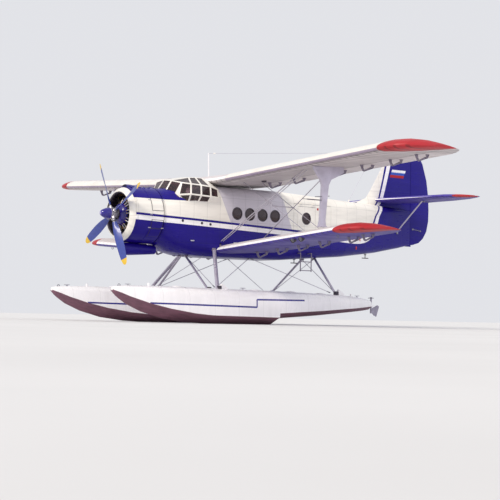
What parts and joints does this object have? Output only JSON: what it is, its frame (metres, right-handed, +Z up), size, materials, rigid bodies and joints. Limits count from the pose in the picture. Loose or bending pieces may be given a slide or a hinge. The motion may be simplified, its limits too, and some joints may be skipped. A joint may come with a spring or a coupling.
{
  "type": "floatplane",
  "caption": "Single-engine utility biplane on twin floats, with a turning propeller, hinged control surfaces, sliding slats, steerable water rudders and a cargo door.",
  "frame": {"origin": "on the floor under the middle of the bounding box, where the keels of the floats rest", "axes": "the nose points to -X, the starboard wing to +Y, and +Z is up"},
  "size_m": [13.29, 18.18, 5.88],
  "materials": {
    "hull_white": "gloss enamel",
    "hull_blue": "gloss enamel",
    "cowl_cream": "gloss enamel",
    "wing_dope": "satin dope",
    "strut_paint": "satin",
    "bare_steel": "brushed",
    "bare_aluminium": "satin",
    "engine_castings": "dull",
    "seat_leather": "matt",
    "cabin_grey": "matt",
    "instrument_black": "matt"
  },
  "bodies": {
    "airframe": {"aerial_mast": "wing_dope", "boarding_ladder": "bare_steel", "cabin_floor": "cabin_grey", "canopy_frame": "hull_white", "cockpit_bulkhead": "cabin_grey", "cowling": "cowl_cream", "engine": "engine_castings", "exhaust_pipe": "bare_steel", "fin": "hull_blue", "float_left": "hull_white", "float_right": "hull_white", "float_strut_inner_left": "strut_paint", "float_strut_inner_right": "strut_paint", "float_strut_main_left": "strut_paint", "float_strut_main_right": "strut_paint", "float_strut_rear_left": "strut_paint", "float_strut_rear_right": "strut_paint", "flying_wire_front_left": "bare_steel", "flying_wire_front_right": "bare_steel", "flying_wire_rear_left": "bare_steel", "flying_wire_rear_right": "bare_steel", "fuselage_shell": "hull_white", "instrument_panel": "instrument_black", "interplane_strut_left": "wing_dope", "interplane_strut_right": "wing_dope", "landing_wire_front_left": "bare_steel", "landing_wire_front_right": "bare_steel", "landing_wire_rear_left": "bare_steel", "landing_wire_rear_right": "bare_steel", "lower_wing_left": "hull_blue", "lower_wing_right": "hull_blue", "oil_cooler": "hull_blue", "pilot_seat_left": "seat_leather", "pilot_seat_right": "seat_leather", "tail_cone": "hull_blue", "tailplane_left": "hull_blue", "tailplane_right": "hull_blue", "tailplane_strut_left": "hull_blue", "tailplane_strut_right": "hull_blue", "upper_wing_left": "wing_dope", "upper_wing_right": "wing_dope", "wing_centre": "wing_dope"},
    "propeller": {"propeller": "hull_blue", "spinner": "hull_blue"},
    "aileron_left": {"aileron_left": "wing_dope"},
    "upper_flap_left": {"upper_flap_left": "wing_dope"},
    "lower_flap_left": {"lower_flap_left": "hull_blue"},
    "slat_left": {"slat_left": "wing_dope"},
    "elevator_left": {"elevator_left": "hull_blue"},
    "water_rudder_left": {"water_rudder_left": "bare_aluminium"},
    "aileron_right": {"aileron_right": "wing_dope"},
    "upper_flap_right": {"upper_flap_right": "wing_dope"},
    "lower_flap_right": {"lower_flap_right": "hull_blue"},
    "slat_right": {"slat_right": "wing_dope"},
    "elevator_right": {"elevator_right": "hull_blue"},
    "water_rudder_right": {"water_rudder_right": "bare_aluminium"},
    "rudder": {"rudder": "hull_blue"},
    "cargo_door": {"cargo_door": "hull_white"},
    "passenger_door": {"passenger_door": "hull_white"}
  },
  "joints": [
    {"name": "propeller_spin", "type": "hinge", "parent": "airframe", "child": "propeller", "pos_m": [-5.675, 0, 3.1], "axis": [1, 0, 0], "continuous": true},
    {"name": "aileron_left_hinge", "type": "hinge", "parent": "airframe", "child": "aileron_left", "pos_m": [-0.993, -6.4, 4.38576], "axis": [0, 0.9986, -0.0523], "range_deg": [-30, 14]},
    {"name": "upper_flap_left_hinge", "type": "hinge", "parent": "airframe", "child": "upper_flap_left", "pos_m": [-0.993, -2.9, 4.20233], "axis": [0, 0.9986, -0.0523], "range_deg": [0, 40]},
    {"name": "lower_flap_left_hinge", "type": "hinge", "parent": "airframe", "child": "lower_flap_left", "pos_m": [-1.135, -3.7, 2.26783], "axis": [0, 0.9973, -0.0732], "range_deg": [0, 40]},
    {"name": "slat_left_slide", "type": "slide", "parent": "airframe", "child": "slat_left", "axis": [-0.96, 0, -0.28], "range_m": [0, 0.09]},
    {"name": "elevator_left_hinge", "type": "hinge", "parent": "airframe", "child": "elevator_left", "pos_m": [5.325, -1.9, 4.12], "axis": [0, 1, 0], "range_deg": [-42, 22.5]},
    {"name": "water_rudder_left_steer", "type": "hinge", "parent": "airframe", "child": "water_rudder_left", "pos_m": [2.675, -1.72, 0.65], "axis": [0, 0, 1], "range_deg": [-30, 30]},
    {"name": "aileron_right_hinge", "type": "hinge", "parent": "airframe", "child": "aileron_right", "pos_m": [-0.993, 6.4, 4.38576], "axis": [0, 0.9986, 0.0523], "range_deg": [-30, 14]},
    {"name": "upper_flap_right_hinge", "type": "hinge", "parent": "airframe", "child": "upper_flap_right", "pos_m": [-0.993, 2.9, 4.20233], "axis": [0, 0.9986, 0.0523], "range_deg": [0, 40]},
    {"name": "lower_flap_right_hinge", "type": "hinge", "parent": "airframe", "child": "lower_flap_right", "pos_m": [-1.135, 3.7, 2.26783], "axis": [0, 0.9973, 0.0732], "range_deg": [0, 40]},
    {"name": "slat_right_slide", "type": "slide", "parent": "airframe", "child": "slat_right", "axis": [-0.96, 0, -0.28], "range_m": [0, 0.09]},
    {"name": "elevator_right_hinge", "type": "hinge", "parent": "airframe", "child": "elevator_right", "pos_m": [5.325, 1.9, 4.12], "axis": [0, 1, 0], "range_deg": [-42, 22.5]},
    {"name": "water_rudder_right_steer", "type": "hinge", "parent": "airframe", "child": "water_rudder_right", "pos_m": [2.675, 1.72, 0.65], "axis": [0, 0, 1], "range_deg": [-30, 30]},
    {"name": "rudder_hinge", "type": "hinge", "parent": "airframe", "child": "rudder", "pos_m": [5.805, 0, 4.3], "axis": [0, 0, 1], "range_deg": [-28, 28]},
    {"name": "cargo_door_hinge", "type": "hinge", "parent": "airframe", "child": "cargo_door", "pos_m": [1.04601, -0.7955, 3.72], "axis": [-0.9964, -0.0843, 0], "range_deg": [0, 85]},
    {"name": "passenger_door_hinge", "type": "hinge", "parent": "cargo_door", "child": "passenger_door", "pos_m": [0.41977, -0.77422, 3.04], "axis": [0, 0, 1], "range_deg": [0, 90]}
  ],
  "couplings": [
    {"joint": "upper_flap_right_hinge", "follows": "upper_flap_left_hinge", "ratio": 1},
    {"joint": "lower_flap_left_hinge", "follows": "upper_flap_left_hinge", "ratio": 1},
    {"joint": "lower_flap_right_hinge", "follows": "upper_flap_left_hinge", "ratio": 1},
    {"joint": "elevator_right_hinge", "follows": "elevator_left_hinge", "ratio": 1},
    {"joint": "water_rudder_right_steer", "follows": "water_rudder_left_steer", "ratio": 1}
  ]
}
